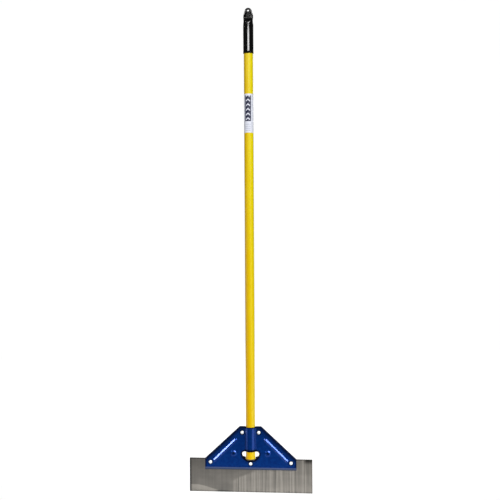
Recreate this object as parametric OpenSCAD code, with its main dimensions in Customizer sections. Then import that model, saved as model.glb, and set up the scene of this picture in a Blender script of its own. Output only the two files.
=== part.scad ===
// Long-handled floor scraper. A flat steel blade is riveted between two pressed
// head plates, whose half-round sockets clamp a tube handle with a moulded cap.
// Units are millimetres. The origin is the middle of the cutting edge: +X runs
// along the blade, +Z up the handle, and the front faces -Y.

/* [Blade] */
// Length of the cutting edge
blade_w = 400; // [320:5:440]
// Height of the blade, from cutting edge to back edge
blade_h = 110; // [108:0.5:110]
// Thickness of the blade
blade_t = 2; // [1.5:0.1:2]
// Height of the ground bevel on the front face
bevel_h = 4.5; // [2:0.5:10]
// Thickness left at the cutting edge
edge_t = 0.5; // [0.3:0.1:1]

/* [Head plates] */
// Thickness of the pressed sheet
sheet_t = 2; // [1.5:0.1:2.5]
// Half the width of the head at its foot
head_half_w = 148.5; // [146:0.5:158]
// Height at which the slanted edges start
shoulder_z = 110.5; // [110.5:0.5:114]
// Half the width of the flat top
top_half_w = 35; // [34:0.5:42]
// Height of the flat top
top_z = 215.5; // [213:0.5:222]
// Height at which the bottom lip starts to bend away from the blade
lip_z = 84.5; // [84:0.5:87]
// Radius of the lip, on the plate's front face
lip_r = 10; // [5:0.5:12]
// Angle that the lip bends through
lip_angle = 50; // [20:5:60]

/* [Socket and window] */
// Clearance between the socket and the tube
socket_gap = 0.1; // [0.05:0.05:0.2]
// How far the socket's mouth stops below the flat top
mouth_drop = 2.5; // [1:0.5:6]
// Height of the window's slot, between its two round ends
slot_z = 125; // [124:0.5:127]
// Half the length of the window's slot
slot_half_w = 28.2; // [26:0.2:30]
// Radius of the slot's ends
slot_r = 8.8; // [8:0.1:10]
// Half the width of the pocket under the slot
pocket_half_w = 16.6; // [16.2:0.1:18]
// Height of the pocket's floor
pocket_z = 103.5; // [102.5:0.5:105]
// Radius of the pocket's corners
pocket_r = 8; // [4:0.5:8]

/* [Beads and bosses] */
// Where each stiffening bead starts, near the lower corner
bead_low = [118, 103];
// Where each stiffening bead ends, near the socket
bead_high = [48.5, 170.5];
// Width of a bead on the plate's front face
bead_w = 11; // [8:0.5:12]
// How far a bead stands out
bead_h = 2.5; // [1.5:0.1:3]
// Distance of each round boss from the middle
boss_x = 55.7; // [52:0.5:60]
// Height of the round bosses
boss_z = 127; // [122:0.5:132]
// Radius of a boss at its foot
boss_r = 12; // [10.5:0.5:13]
// How far a boss stands out
boss_h = 2.4; // [1.5:0.1:2.5]
// How far a boss narrows from its foot to its top
boss_slope = 2.5; // [1:0.5:3]
// Radius of the round dimple in a boss
dimple_r = 6; // [5:0.5:7]

/* [Rivets] */
// Radius of a rivet's shank
shank_r = 3; // [2.5:0.1:3.2]
// Clearance round the shank
shank_gap = 0.05; // [0.02:0.01:0.1]
// Radius of a rivet's head
rivet_head_r = 5.4; // [5:0.1:6]
// Height of a rivet's domed head
rivet_head_h = 2.6; // [2:0.1:3.5]
// Distance of the upper rivets from the middle
top_rivet_x = 27; // [26.5:0.5:28]
// Height of the upper rivets
top_rivet_z = 195; // [190:0.5:200]
// Distance of the outer blade rivets from the middle
side_rivet_x = 131.5; // [128:0.5:136]
// Height of the outer blade rivets
side_rivet_z = 97.5; // [95:0.5:100]
// Height of the middle blade rivet
mid_rivet_z = 93.5; // [92:0.5:95]

/* [Handle] */
// Outer radius of the tube
tube_r = 15; // [14:0.1:15]
// Wall of the tube
tube_wall = 1.2; // [1:0.1:2]
// Height of the tube's upper end
tube_top_z = 1518; // [1300:1:1600]
// How far the tube's lower end is swelled
swell = 0.45; // [0.3:0.05:0.9]
// Length of the swelled end
swell_h = 9; // [5:0.5:10]

/* [End cap] */
// Outer radius of the cap's sleeve
cap_r = 16.85; // [16.5:0.05:18]
// Length of sleeve that overlaps the tube
cap_overlap = 95; // [60:1:120]
// Thickness of the flat hanging tab
tab_t = 9; // [7:0.5:11]
// Largest half width of the tab
tab_half_w = 16.1; // [15.5:0.1:16.4]
// Radius of the tab's round end
tab_end_r = 12; // [10:0.5:13]
// Radius of the hanging hole
hang_r = 3.3; // [3:0.1:4.5]
// How much narrower than the tab the neck is, on each side
neck_waist = 0.5; // [0.2:0.1:1]

/* [Label] */
// Thickness of the label wrap
label_t = 0.15; // [0.1:0.05:0.3]
// Height at which the label starts
label_z = 1166.5; // [400:0.5:1200]
// Height of the label
label_h = 125.5; // [80:0.5:140]

/* [Hidden] */
$fn = 72;
eps = 0.01;
reach = 40;                                    // longer than any piece is deep
inner_y = -blade_t / 2;                        // the plate's inner face lies on the blade
outer_y = inner_y - sheet_t;                   // the plate's front face
slant = atan((top_z - shoulder_z) / (head_half_w - top_half_w));
socket_r = tube_r + socket_gap;
socket_top_z = top_z - mouth_drop;
hole_r = shank_r + shank_gap;
seat_depth = blade_t / 2;                      // the upper seats bring the plates together
seat_r = rivet_head_r + 2.5;
swell_top_z = blade_h + swell_h;
swell_ease = 2;                                // height over which the swell dies out
neck_z = tube_top_z + 10;                      // start of the cap's neck
neck_h = 4;
tab_thin_z = tube_top_z + 20;                  // where the tab reaches its own thickness
tab_z = tube_top_z + 26;                       // widest part of the tab
tab_end_z = tab_z + 15;                        // centre of the tab's round end
hang_z = tab_end_z + 3;
cap_shoulder_z = tube_top_z + 5;               // where the sleeve starts to flatten
cap_rim_z = tube_top_z - cap_overlap;
cap_bore_r = tube_r + 0.1;

// Draws a (y, z) outline out along X, centred on the origin.
module along_x(length) {
    translate([-length / 2, 0, 0])
        rotate([90, 0, 90])
            linear_extrude(length)
                children();
}

// Draws an (x, z) outline out from y0 to y1.
module along_y(y0, y1) {
    translate([0, y1, 0])
        rotate([90, 0, 0])
            linear_extrude(y1 - y0)
                children();
}

// A piece and its mirror image on the other side of the handle.
module both_sides() {
    children();
    mirror([1, 0, 0])
        children();
}

// A round bar along Y, from y0 to y1, at (x, z).
module bar_y(r, x, z, y0, y1) {
    translate([x, y1, z])
        rotate([90, 0, 0])
            cylinder(h = y1 - y0, r = r);
}

module blade_rivet_holes() {
    both_sides()
        bar_y(hole_r, side_rivet_x, side_rivet_z, -reach, reach);
    bar_y(hole_r, 0, mid_rivet_z, -reach, reach);
}

module top_rivet_holes() {
    both_sides()
        bar_y(hole_r, top_rivet_x, top_rivet_z, -reach, reach);
}

// Flat spring-steel blade, ground to its edge on the front face.
module blade() {
    half_t = blade_t / 2;
    color("#8A857E")
        difference() {
            along_x(blade_w)
                polygon([[half_t, 0], [half_t, blade_h], [-half_t, blade_h],
                         [-half_t, bevel_h], [half_t - edge_t, 0]]);
            blade_rivet_holes();
        }
}

// Height of the slanted edge at x, moved inwards by inset.
function slant_z(x, inset) = shoulder_z + (head_half_w - x) * tan(slant) - inset / cos(slant);

// Outline of the head, with its slants and top moved inwards by inset. The foot
// and the upright sides stay open for the blade, so they go out by over.
module head_outline(inset, over) {
    side = head_half_w + over;
    top = top_z - inset;
    corner_x = head_half_w + (slant_z(head_half_w, inset) - top) / tan(slant);
    polygon([[side, lip_z - over], [side, slant_z(side, inset)], [corner_x, top],
             [-corner_x, top], [-side, slant_z(side, inset)], [-side, lip_z - over]]);
}

// Waste outside a quarter round that turns the plate's edge back to the middle.
// It runs along +X with the edge at z = 0 and the plate below it.
module edge_round() {
    r = -outer_y;
    translate([0, 0, -r])
        along_x(2 * head_half_w)
            difference() {
                translate([outer_y - eps, 0])
                    square([r + eps, r + eps]);
                circle(r);
            }
}

// Slanted and top edges, turned back until the two plates meet.
module turned_edges() {
    difference() {
        along_y(outer_y, 0)
            difference() {
                head_outline(0, 0);
                head_outline(sheet_t, 1);
            }
        translate([0, 0, top_z])
            edge_round();
        both_sides()
            translate([(head_half_w + top_half_w) / 2, 0, (shoulder_z + top_z) / 2])
                rotate([0, slant, 0])
                    edge_round();
    }
}

// Flat web of the plate, inside its turned edges.
module web() {
    along_y(outer_y, inner_y)
        intersection() {
            head_outline(0, 0);
            head_outline(sheet_t - eps, 0);
        }
}

// Bottom edge, bent forward off the blade to stiffen it.
module lip() {
    back_r = lip_r + sheet_t;
    translate([0, outer_y - lip_r, lip_z])
        along_x(2 * head_half_w)
            intersection() {
                difference() {
                    circle(back_r);
                    circle(lip_r);
                }
                polygon([[0, 0], [2 * back_r, 0],
                         [2 * back_r, -2 * back_r * tan(lip_angle)]]);
            }
}

// Half-round form of the tube socket, swelled to radius r.
module socket_form(r) {
    translate([0, 0, slot_z])
        cylinder(h = socket_top_z - slot_z, r = r);
}

// Long round-topped bead, thinned by inset to form its hollow back.
module bead_form(inset) {
    r = (pow(bead_w / 2, 2) + pow(bead_h, 2)) / (2 * bead_h);
    run = bead_high - bead_low;
    translate([bead_low[0], outer_y - bead_h + r, bead_low[1]])
        rotate([0, atan2(run[0], run[1]), 0]) {
            cylinder(h = norm(run), r = r - inset);
            sphere(r - inset);
            translate([0, 0, norm(run)])
                sphere(r - inset);
        }
}

// Round boss standing out of the plane at y, with its dimple pressed back as far
// as the plate's own face. Its hollow back is the same form, one sheet further in.
module boss_form(y, inset) {
    translate([boss_x, 0, boss_z])
        difference() {
            translate([0, y + eps, 0])
                rotate([90, 0, 0])
                    cylinder(h = boss_h + eps, r1 = boss_r - inset,
                             r2 = boss_r - inset - boss_slope);
            translate([0, outer_y - dimple_r, 0])
                sphere(dimple_r + inset);
        }
}

// Window that shows the foot of the tube: a round-ended slot over a pocket.
module window_outline() {
    end_x = slot_half_w - slot_r;
    corner_x = pocket_half_w - pocket_r;
    for (side = [-1, 1]) {
        translate([side * end_x, slot_z])
            circle(slot_r);
        translate([side * corner_x, pocket_z + pocket_r])
            circle(pocket_r);
    }
    translate([-end_x, slot_z - slot_r])
        square([2 * end_x, 2 * slot_r]);
    translate([-pocket_half_w, pocket_z + pocket_r])
        square([2 * pocket_half_w, slot_z - pocket_z - pocket_r]);
    translate([-corner_x, pocket_z])
        square([2 * corner_x, slot_z - pocket_z]);
}

// Seat pressed back round each upper rivet, so that the plates touch there.
module rivet_seats() {
    both_sides()
        bar_y(seat_r + sheet_t, top_rivet_x, top_rivet_z, inner_y - seat_depth, 0);
}

module seat_recesses() {
    both_sides()
        bar_y(seat_r, top_rivet_x, top_rivet_z, outer_y - eps, outer_y + seat_depth);
}

// Everything that stands out of the plate's front face.
module pressed_out() {
    web();
    lip();
    socket_form(socket_r + sheet_t);
    both_sides() {
        bead_form(0);
        boss_form(outer_y, 0);
    }
}

// One pressed plate: the front one, with its hollow back towards +Y.
module pressed_plate() {
    difference() {
        union() {
            difference() {
                pressed_out();
                translate([-head_half_w, inner_y, 0])
                    cube([2 * head_half_w, reach, top_z]);
            }
            turned_edges();
            difference() {
                rivet_seats();
                socket_form(socket_r + sheet_t / 2);
            }
        }
        seat_recesses();
        socket_bore();
        both_sides() {
            bead_form(sheet_t);
            boss_form(inner_y, sheet_t);
        }
        along_y(-reach, eps)
            window_outline();
        blade_rivet_holes();
        top_rivet_holes();
    }
}

// Space for the tube, from the window up through the mouth.
module socket_bore() {
    translate([0, 0, slot_z])
        cylinder(h = top_z - slot_z + 1, r = socket_r);
}

module front_plate() {
    color("#112E7A")
        pressed_plate();
}

module rear_plate() {
    color("#112E7A")
        mirror([0, 1, 0])
            pressed_plate();
}

// Domed head standing on the plane z = 0.
module rivet_head() {
    dome_r = (pow(rivet_head_r, 2) + pow(rivet_head_h, 2)) / (2 * rivet_head_h);
    intersection() {
        translate([0, 0, rivet_head_h - dome_r])
            sphere(dome_r);
        cylinder(h = rivet_head_h, r = rivet_head_r);
    }
}

// Solid rivet at (x, z), with a domed head on both faces of a stack this thick.
module rivet(x, z, grip) {
    color("#DDE6EA")
        translate([x, 0, z]) {
            bar_y(shank_r, 0, 0, -grip / 2, grip / 2);
            for (face = [90, -90])
                rotate([face, 0, 0])
                    translate([0, 0, grip / 2])
                        rivet_head();
        }
}

module top_rivet(side) {
    rivet(side * top_rivet_x, top_rivet_z, 2 * sheet_t);
}

module side_rivet(side) {
    rivet(side * side_rivet_x, side_rivet_z, 2 * sheet_t + blade_t);
}

module mid_rivet() {
    rivet(0, mid_rivet_z, 2 * sheet_t + blade_t);
}

// Thin steel tube in yellow plastic, standing on the blade's back edge.
module handle_tube() {
    inner_r = tube_r - tube_wall;
    color("#E0BE0A")
        rotate_extrude()
            polygon([[inner_r + swell, blade_h], [tube_r + swell, blade_h],
                     [tube_r + swell, swell_top_z], [tube_r, swell_top_z + swell_ease],
                     [tube_r, tube_top_z], [inner_r, tube_top_z],
                     [inner_r, swell_top_z + swell_ease], [inner_r + swell, swell_top_z]]);
}

// Half outline of the cap, seen from the front. Its sleeve narrows to a neck and
// swells again into the tab, whose two circles are joined by their tangent.
module cap_half_outline() {
    neck_r = tab_half_w - neck_waist;
    lean = asin((tab_half_w - tab_end_r) / (tab_end_z - tab_z));
    polygon([[0, cap_rim_z], [cap_r, cap_rim_z], [cap_r, tube_top_z - 1],
             [neck_r, neck_z], [neck_r, neck_z + neck_h],
             [tab_half_w, tab_z], [0, tab_z]]);
    intersection() {
        union() {
            translate([0, tab_z])
                circle(tab_half_w);
            translate([0, tab_end_z])
                circle(tab_end_r);
            polygon([[0, tab_z],
                     [tab_half_w * cos(lean), tab_z + tab_half_w * sin(lean)],
                     [tab_end_r * cos(lean), tab_end_z + tab_end_r * sin(lean)],
                     [0, tab_end_z]]);
        }
        translate([0, tab_z])
            square([reach, reach]);
    }
}

// Outline of the cap from the side: a full sleeve that thins to the flat tab.
module cap_side_outline() {
    half_t = tab_t / 2;
    polygon([[-reach, cap_rim_z - 1], [reach, cap_rim_z - 1],
             [reach, cap_shoulder_z], [cap_r, cap_shoulder_z], [half_t, tab_thin_z],
             [half_t, tab_end_z + reach], [-half_t, tab_end_z + reach],
             [-half_t, tab_thin_z], [-cap_r, cap_shoulder_z], [-reach, cap_shoulder_z]]);
}

// Moulded hanging cap, pushed over the tube's upper end.
module end_cap() {
    color("#141416")
        difference() {
            intersection() {
                rotate_extrude()
                    cap_half_outline();
                along_x(2 * reach)
                    cap_side_outline();
            }
            translate([0, 0, cap_rim_z - 1])
                cylinder(h = cap_overlap + 1, r = cap_bore_r);
            bar_y(hang_r, 0, hang_z, -reach, reach);
        }
}

// Printed paper label, wrapped once round the tube.
module label() {
    color("#F2F2F5")
        translate([0, 0, label_z])
            difference() {
                cylinder(h = label_h, r = tube_r + label_t);
                translate([0, 0, -1])
                    cylinder(h = label_h + 2, r = tube_r);
            }
}

blade();
front_plate();
rear_plate();
top_rivet(-1);  // rivet_top_left
top_rivet(1);  // rivet_top_right
side_rivet(-1);  // rivet_bottom_left
mid_rivet();  // rivet_bottom_centre
side_rivet(1);  // rivet_bottom_right
handle_tube();
end_cap();
label();
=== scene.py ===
import math

import bmesh
import bpy
import numpy as np
from mathutils import Matrix, Vector, geometry


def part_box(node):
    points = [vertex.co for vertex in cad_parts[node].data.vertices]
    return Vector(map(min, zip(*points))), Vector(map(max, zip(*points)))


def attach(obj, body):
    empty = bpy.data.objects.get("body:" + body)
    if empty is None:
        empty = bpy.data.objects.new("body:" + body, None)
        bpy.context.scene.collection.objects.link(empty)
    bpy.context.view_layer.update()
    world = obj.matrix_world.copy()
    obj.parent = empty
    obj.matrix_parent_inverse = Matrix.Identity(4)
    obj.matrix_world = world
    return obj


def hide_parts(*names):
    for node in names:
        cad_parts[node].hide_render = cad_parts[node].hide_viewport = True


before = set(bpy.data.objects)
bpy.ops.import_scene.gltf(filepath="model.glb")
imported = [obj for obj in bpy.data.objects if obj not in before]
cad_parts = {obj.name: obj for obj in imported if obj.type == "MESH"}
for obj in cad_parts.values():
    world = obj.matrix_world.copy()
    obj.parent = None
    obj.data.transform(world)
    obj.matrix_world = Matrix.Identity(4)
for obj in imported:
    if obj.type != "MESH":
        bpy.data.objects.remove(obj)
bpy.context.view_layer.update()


# ------------------------------------------------------------------ blade
# A strip of hardened spring steel, cropped square and ground to an edge along its foot
# on the front face. The head plates are riveted through its upper third.

mm = 0.001


def linear(hex_colour):
    """An sRGB hex colour as the linear RGBA that the shaders take."""
    channels = [int(hex_colour[i:i + 2], 16) / 255 for i in (1, 3, 5)]
    return [c / 12.92 if c <= 0.04045 else ((c + 0.055) / 1.055) ** 2.4 for c in channels] + [1]


def feed(tree, node, inputs):
    """Fills a node's inputs, by name or in their order: a socket is linked, a value set."""
    for socket, value in inputs.items() if isinstance(inputs, dict) else enumerate(inputs):
        if isinstance(value, bpy.types.NodeSocket):
            tree.links.new(value, node.inputs[socket])
        else:
            node.inputs[socket].default_value = value


def add(tree, kind, inputs=(), output=0, **settings):
    """Adds a node with its settings and inputs, and gives back one of its outputs."""
    node = tree.nodes.new(kind)
    for name, value in settings.items():
        setattr(node, name, value)
    feed(tree, node, inputs)
    return node.outputs[output] if node.outputs else None


def start_material(name):
    """A new material with its node tree, its shader and the object's own coordinates."""
    material = bpy.data.materials.new(name)
    material.use_nodes = True
    tree = material.node_tree
    return material, tree, tree.nodes["Principled BSDF"], add(tree, "ShaderNodeTexCoord", (), "Object")


def grain(tree, where, size, detail=3.0, roughness=0.5):
    """An uneven pattern from 0 to 1, whose grains are size in metres along X, Y and Z."""
    scaled = add(tree, "ShaderNodeMapping", {"Vector": where, "Scale": [1 / s for s in size]})
    return add(tree, "ShaderNodeTexNoise", {"Vector": scaled, "Scale": 1.0,
                                            "Detail": detail, "Roughness": roughness})


def new_piece(name, vertices, faces, material):
    """An object at the origin with this mesh."""
    mesh = bpy.data.meshes.new(name)
    mesh.from_pydata([tuple(v) for v in vertices], [], [tuple(f) for f in faces])
    mesh.materials.append(material)
    piece = bpy.data.objects.new(name, mesh)
    bpy.context.scene.collection.objects.link(piece)
    return piece


def stand_for(piece, node):
    """Hangs a finished piece on the tool's one body and hides the CAD node it stands for."""
    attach(piece, "root")
    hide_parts(node)


def face_outwards(mesh):
    """Merges doubled points and turns the faces of a closed mesh outwards."""
    shell = bmesh.new()
    shell.from_mesh(mesh)
    bmesh.ops.remove_doubles(shell, verts=shell.verts, dist=1e-6)
    bmesh.ops.recalc_face_normals(shell, faces=shell.faces)
    shell.to_mesh(mesh)
    shell.free()


def settle(piece, sharp_angle=35):
    """Applies a piece's modifiers, turns its faces outwards and shades it smooth."""
    evaluated = piece.evaluated_get(bpy.context.evaluated_depsgraph_get())
    mesh = bpy.data.meshes.new_from_object(evaluated)
    piece.modifiers.clear()
    piece.data = mesh
    face_outwards(mesh)
    mesh.shade_smooth()
    mesh.set_sharp_from_angle(angle=math.radians(sharp_angle))


# Spring steel as it comes from the rolls: warm grey, drawn with vertical grinding lines
# that blur what it reflects. A painted reflection makes it lighter right of a leaning
# line, and it is lighter in an arc at its left end. Painted shade darkens its ends and
# back edge. The lines are coarser than real grit, which would be too fine to see.
blade_low, blade_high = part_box("blade")
bevel_height = 4.5 * mm
blade_steel, tree, shader, where = start_material("ground spring steel")
x = add(tree, "ShaderNodeSeparateXYZ", [where], "X")
z = add(tree, "ShaderNodeSeparateXYZ", [where], "Z")
fine_lines = grain(tree, where, (1.6 * mm, 30 * mm, 140 * mm), 2)
broad_lines = grain(tree, where, (7.5 * mm, 30 * mm, 420 * mm), 2, 0.6)
clouds = grain(tree, where, (60 * mm, 40 * mm, 30 * mm), 2, 0.4)

# A painted reflection: the blade is lighter right of a line that leans to the right as it climbs.
reflection_edge_line = add(tree, "ShaderNodeMapRange", [z, 30 * mm, 80 * mm, -68 * mm, 14 * mm],
                   interpolation_type="SMOOTHSTEP")
past_edge = add(tree, "ShaderNodeMath", [x, reflection_edge_line], operation="SUBTRACT")
painted_reflection_side = add(tree, "ShaderNodeMapRange", [past_edge, -12 * mm, 24 * mm],
              interpolation_type="SMOOTHSTEP")

# The left end is lighter too, under a curve that falls away to the right.
arc_top = add(tree, "ShaderNodeMapRange", [x, -180 * mm, -88 * mm, 23.5 * mm, 5 * mm],
                interpolation_type="SMOOTHSTEP")
below_top = add(tree, "ShaderNodeMath", [arc_top, z], operation="SUBTRACT")
arc_rim = add(tree, "ShaderNodeMapRange", [below_top, -0.6 * mm, 1.6 * mm],
                interpolation_type="SMOOTHSTEP")
arc_fade = add(tree, "ShaderNodeMapRange", [below_top, 3 * mm, 22 * mm, 1.0, 0.55],
                 interpolation_type="SMOOTHSTEP")
arc_end = add(tree, "ShaderNodeMapRange", [x, -118 * mm, -98 * mm, 1.0, 0.0],
                interpolation_type="SMOOTHSTEP")
left_arc_patch = add(tree, "ShaderNodeMath", [arc_rim, arc_fade], operation="MULTIPLY")
left_arc_patch = add(tree, "ShaderNodeMath", [left_arc_patch, arc_end], operation="MULTIPLY")

# Grinding has scorched the foot dark over a short run beside it.
scorch_low = add(tree, "ShaderNodeMapRange", [z, 3 * mm, 8 * mm, 1.0, 0.0],
                 interpolation_type="SMOOTHSTEP")
scorch_left = add(tree, "ShaderNodeMapRange", [x, -120 * mm, -110 * mm],
                  interpolation_type="SMOOTHSTEP")
scorch_right = add(tree, "ShaderNodeMapRange", [x, -78 * mm, -70 * mm, 1.0, 0.0],
                   interpolation_type="SMOOTHSTEP")
scorch_run = add(tree, "ShaderNodeMath", [scorch_left, scorch_right], operation="MULTIPLY")
scorched = add(tree, "ShaderNodeMath", [scorch_low, scorch_run], operation="MULTIPLY")

# All of this adds up to one tone, from the darkest grey to the lightest.
tone = add(tree, "ShaderNodeMapRange", [painted_reflection_side, 0.0, 1.0, 0.34, 0.6],
           interpolation_type="SMOOTHSTEP")
cloud_tone = add(tree, "ShaderNodeMapRange", [clouds, 0.3, 0.7, -0.05, 0.05],
                 interpolation_type="SMOOTHSTEP")
arc_tone = add(tree, "ShaderNodeMath", [left_arc_patch, 0.32], operation="MULTIPLY")
low_tone = add(tree, "ShaderNodeMapRange", [z, 4 * mm, 35 * mm, -0.1, -0.01],
               interpolation_type="SMOOTHSTEP")
# Painted shade: the down-facing bevel is darkened.
bevel_tone = add(tree, "ShaderNodeMapRange", [z, 4 * mm, 5.5 * mm, -0.2, 0.0],
                 interpolation_type="SMOOTHSTEP")
scorch_tone = add(tree, "ShaderNodeMath", [scorched, -0.12], operation="MULTIPLY")
broad_tone = add(tree, "ShaderNodeMapRange", [broad_lines, 0.32, 0.68, -0.2, 0.2],
                 interpolation_type="SMOOTHSTEP")
fine_tone = add(tree, "ShaderNodeMapRange", [fine_lines, 0.25, 0.75, -0.14, 0.14],
                interpolation_type="SMOOTHSTEP")
# The grinding lines show most where the painted reflection lightens the blade.
line_share = add(tree, "ShaderNodeMapRange", [painted_reflection_side, 0.0, 1.0, 0.14, 1.0],
                 interpolation_type="SMOOTHSTEP")
line_tone = add(tree, "ShaderNodeMath", [broad_tone, fine_tone], operation="ADD")
line_tone = add(tree, "ShaderNodeMath", [line_tone, line_share], operation="MULTIPLY")
for change in (cloud_tone, arc_tone, low_tone, bevel_tone, scorch_tone, line_tone):
    tone = add(tree, "ShaderNodeMath", [tone, change], operation="ADD")
steel_colour = add(tree, "ShaderNodeMix", {0: tone, 6: linear("#4F4F4D"), 7: linear("#BDB7AE")},
                   2, data_type="RGBA")

# Painted shade: the cropped ends and back edge are darkened, most of all the upper right corner.
left_end = add(tree, "ShaderNodeMapRange", [x, -199.2 * mm, -191.5 * mm, 1.0, 0.0],
               interpolation_type="SMOOTHSTEP")
right_end = add(tree, "ShaderNodeMapRange", [x, 196.5 * mm, 199 * mm, 0.0, 0.65],
                interpolation_type="SMOOTHSTEP")
back_edge = add(tree, "ShaderNodeMapRange", [z, 105.5 * mm, 108.5 * mm, 0.0, 0.7],
                interpolation_type="SMOOTHSTEP")
corner_x = add(tree, "ShaderNodeMapRange", [x, 166 * mm, 182 * mm],
               interpolation_type="SMOOTHSTEP")
corner_z = add(tree, "ShaderNodeMapRange", [z, 92 * mm, 105 * mm, 0.0, 0.8],
               interpolation_type="SMOOTHSTEP")
painted_edge_shade = add(tree, "ShaderNodeMath", [corner_x, corner_z], operation="MULTIPLY")
for dark in (left_end, right_end, back_edge):
    painted_edge_shade = add(tree, "ShaderNodeMath", [painted_edge_shade, dark], operation="MAXIMUM")
steel_colour = add(tree, "ShaderNodeMix", {0: painted_edge_shade, 6: steel_colour, 7: linear("#1C1B1A")},
                   2, data_type="RGBA")
feed(tree, shader, {
    "Base Color": steel_colour,
    "Roughness": add(tree, "ShaderNodeMapRange", [fine_lines, 0.2, 0.8, 0.4, 0.5],
                     interpolation_type="SMOOTHSTEP"),
    "Metallic": 1.0,
    "Normal": add(tree, "ShaderNodeBump", {"Height": fine_lines, "Distance": 0.02 * mm})})

edge_thickness = 0.5 * mm
nick = 0.12 * mm                                # the cropped edges are eased by this much
half_t = (blade_high.y - blade_low.y) / 2
back_z = blade_high.z
section = [(half_t, 0), (half_t, back_z - nick), (half_t - nick, back_z),
           (nick - half_t, back_z), (-half_t, back_z - nick), (-half_t, bevel_height),
           (half_t - edge_thickness, 0)]
stations = [blade_low.x, blade_low.x + nick, blade_high.x - nick, blade_high.x]
blade_points = []
for x in stations:
    shrink = nick if x in (stations[0], stations[-1]) else 0
    for y, z in section:
        middle = 0.2 * half_t
        blade_points.append((x, y - math.copysign(min(shrink, abs(y - middle)), y - middle), z))


def join_rings(rings, around):
    """The faces that join rings of points one after the other and close both ends."""
    faces = [(k * around + i, k * around + (i + 1) % around,
              (k + 1) * around + (i + 1) % around, (k + 1) * around + i)
             for k in range(rings - 1) for i in range(around)]
    last = (rings - 1) * around
    return faces + [tuple(range(around)), tuple(range(last, last + around))]


blade_faces = join_rings(len(stations), len(section))
blade = new_piece("scraper_blade", blade_points, blade_faces, blade_steel)

rivet_nodes = ["rivet_top_left", "rivet_top_right", "rivet_bottom_left",
               "rivet_bottom_centre", "rivet_bottom_right"]
rivet_box = {node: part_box(node) for node in rivet_nodes}
rivet_at = {node: (low + high) / 2 for node, (low, high) in rivet_box.items()}
hole_radius = 3.05 * mm


def drill(piece, x, z, radius, half_length, flare=0.0):
    """Cuts a hole along Y, whose mouths open out in a quarter round of radius flare."""
    rings = [(half_length + 5 * flare + mm, radius + flare)]
    steps, mouth_turn = (6 if flare else 0), math.radians(78)
    for i in range(steps + 1):
        turn = mouth_turn * (1 - i / max(steps, 1))
        rings.append((half_length - flare * (1 - math.sin(turn)),
                      radius + flare * (1 - math.cos(turn))))
    rings += [(-y, r) for y, r in reversed(rings)]
    around = 48
    turns = [2 * math.pi * i / around for i in range(around)]
    points = [(x + r * math.cos(t), y, z + r * math.sin(t)) for y, r in rings for t in turns]
    mesh = bpy.data.meshes.new("drill")
    mesh.from_pydata(points, [], join_rings(len(rings), around))
    face_outwards(mesh)
    bit = bpy.data.objects.new("drill", mesh)
    bpy.context.scene.collection.objects.link(bit)
    cut = piece.modifiers.new("hole", "BOOLEAN")
    cut.operation, cut.solver, cut.object = "DIFFERENCE", "EXACT", bit
    return bit


bits = [drill(blade, rivet_at[n].x, rivet_at[n].z, hole_radius, 3 * mm) for n in rivet_nodes[2:]]
settle(blade, 12)
stand_for(blade, "blade")
for bit in bits:
    bpy.data.objects.remove(bit)


# ------------------------------------------------------------ head plates
# Two alike plates of 2 mm sheet, pressed with a half-round socket, two stiffening beads,
# two dimpled bosses, turned-back edges and a lip, then dipped in thick blue enamel.

plate_low, plate_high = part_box("front_plate")
sheet = 2 * mm
web_y = blade_low.y - sheet                     # front face of the flat web
half_width = plate_high.x
top_z = plate_high.z
shoulder_z = blade_high.z + 0.5 * mm
top_half_width = 35 * mm
lip_z = 84.5 * mm
lip_radius = 10 * mm
lip_angle = math.radians(50)
turn_radius = -web_y                            # the turned edges reach the middle plane
socket_radius = -plate_low.y
socket_fillet = 2.5 * mm
slot_z, slot_half_width, slot_radius = 125 * mm, 28.2 * mm, 8.8 * mm
pocket_half_width, pocket_z, pocket_radius = 16.6 * mm, 103.5 * mm, 8 * mm
window_top = slot_z + slot_radius
window_turn = 1.9 * mm                          # width over which its edge rolls back
window_turn_radius = 2.7 * mm
bead_ends = np.array([[118, 103], [48.5, 170.5]]) * mm
bead_half_width, bead_height, bead_tilt = 6 * mm, 2.5 * mm, math.radians(26)
boss_at = np.array([55.7, 127]) * mm
boss_crest, boss_flank, boss_height, boss_tilt = 5.5 * mm, 5.5 * mm, 2.4 * mm, math.radians(30)
dish_depth, dish_tilt = 1 * mm, math.radians(18)
seat_radius, seat_slope, seat_depth, seat_tilt = 5.8 * mm, 2.3 * mm, 0.9 * mm, math.radians(35)
rim_ease = 0.35 * mm                            # rounding of the cut edges

slant = np.array([top_half_width - half_width, top_z - shoulder_z])
slant /= np.hypot(*slant)
slant_in = np.array([-slant[1], slant[0]])      # points into the plate, on the +X side
corner_run = math.sqrt((socket_radius + socket_fillet) ** 2 - (turn_radius + socket_fillet) ** 2)
socket_join = corner_run * socket_radius / (socket_radius + socket_fillet)


def to_segment(points, a, b):
    """Distance from each point to the segment from a to b."""
    along = np.clip((points - a) @ (b - a) / ((b - a) @ (b - a)), 0, 1)
    return np.hypot(*(points - a - along[:, None] * (b - a)).T)


def to_edge(points):
    """Distance inwards from the turned edges: the two slants and the flat top."""
    sided = np.column_stack([np.abs(points[:, 0]), points[:, 1]])
    from_slant = (sided - [half_width, shoulder_z]) @ slant_in
    return np.minimum(from_slant, top_z - points[:, 1])


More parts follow.
